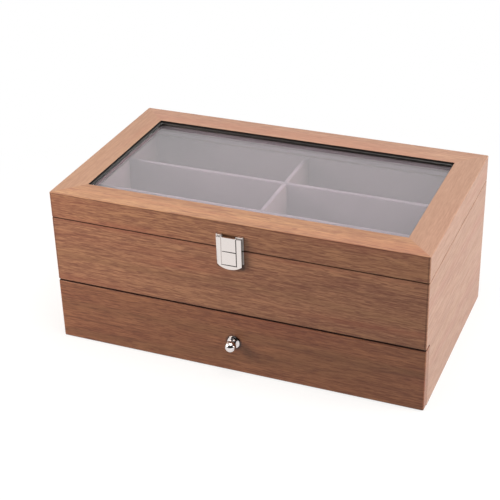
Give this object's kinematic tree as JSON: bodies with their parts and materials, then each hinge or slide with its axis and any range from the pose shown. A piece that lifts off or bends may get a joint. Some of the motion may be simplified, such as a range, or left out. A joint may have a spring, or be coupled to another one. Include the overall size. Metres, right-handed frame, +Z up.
{
  "type": "eyeglass display case",
  "caption": "Wooden display case for glasses: a glazed hinged lid over a lined tray of compartments, a flap latch, and a lined drawer below.",
  "frame": {"origin": "on the surface that the case stands on, under the middle of the box (the boards, without the metalwork)", "axes": "+X to the right seen from the front, +Y from the front to the back, +Z up"},
  "size_m": [0.345, 0.2201, 0.15],
  "materials": {
    "veneered_board": "walnut veneer under a thin satin lacquer",
    "plain_board": "plain pressed board with a paper-thin brown face",
    "velvet": "short taupe-grey velvet",
    "black_bead": "glossy black",
    "glass": "clear polished float glass",
    "chrome": "bright plating",
    "steel": "bright zinc-plated steel",
    "brass_plated": "satin brass-plated steel"
  },
  "bodies": {
    "case": {"case_back": "veneered_board", "case_bottom": "plain_board", "case_front": "veneered_board", "case_shelf": "plain_board", "case_side_left": "veneered_board", "case_side_right": "veneered_board", "hinge_case_leaf_left": "brass_plated", "hinge_case_leaf_right": "brass_plated", "hinge_case_screws": "steel", "hinge_pins": "steel", "latch_case_plate": "chrome", "latch_case_screws": "steel", "latch_catch": "chrome", "tray_divider_back": "velvet", "tray_divider_cross": "velvet", "tray_divider_front": "velvet", "tray_lining_back": "velvet", "tray_lining_floor": "velvet", "tray_lining_front": "velvet", "tray_lining_left": "velvet", "tray_lining_right": "velvet"},
    "lid": {"glass_retainer_back": "velvet", "glass_retainer_front": "velvet", "glass_retainer_left": "velvet", "glass_retainer_right": "velvet", "hinge_lid_leaf_left": "brass_plated", "hinge_lid_leaf_right": "brass_plated", "hinge_lid_screws": "steel", "latch_lid_plate": "chrome", "latch_lid_screws": "steel", "latch_pins": "steel", "lid_bead": "black_bead", "lid_glass": "glass", "lid_rail_back": "veneered_board", "lid_rail_front": "veneered_board", "lid_rail_left": "veneered_board", "lid_rail_right": "veneered_board"},
    "latch_flap": {"latch_cover": "chrome"},
    "drawer": {"drawer_back": "plain_board", "drawer_bottom": "plain_board", "drawer_divider_back": "velvet", "drawer_divider_cross": "velvet", "drawer_divider_front": "velvet", "drawer_front": "veneered_board", "drawer_lining_back": "velvet", "drawer_lining_floor": "velvet", "drawer_lining_front": "velvet", "drawer_lining_left": "velvet", "drawer_lining_right": "velvet", "drawer_side_left": "plain_board", "drawer_side_right": "plain_board", "knob": "chrome", "knob_rosette": "chrome", "knob_screw": "steel"}
  },
  "joints": [
    {"name": "lid_hinge", "type": "hinge", "parent": "case", "child": "lid", "pos_m": [0, 0.103, 0.12525], "axis": [-1, 0, 0], "range_deg": [0, 97]},
    {"name": "latch_hinge", "type": "hinge", "parent": "lid", "child": "latch_flap", "pos_m": [0, -0.102, 0.1378], "axis": [-1, 0, 0], "range_deg": [0, 160]},
    {"name": "drawer_slide", "type": "slide", "parent": "case", "child": "drawer", "axis": [0, -1, 0], "range_m": [0, 0.145]}
  ]
}
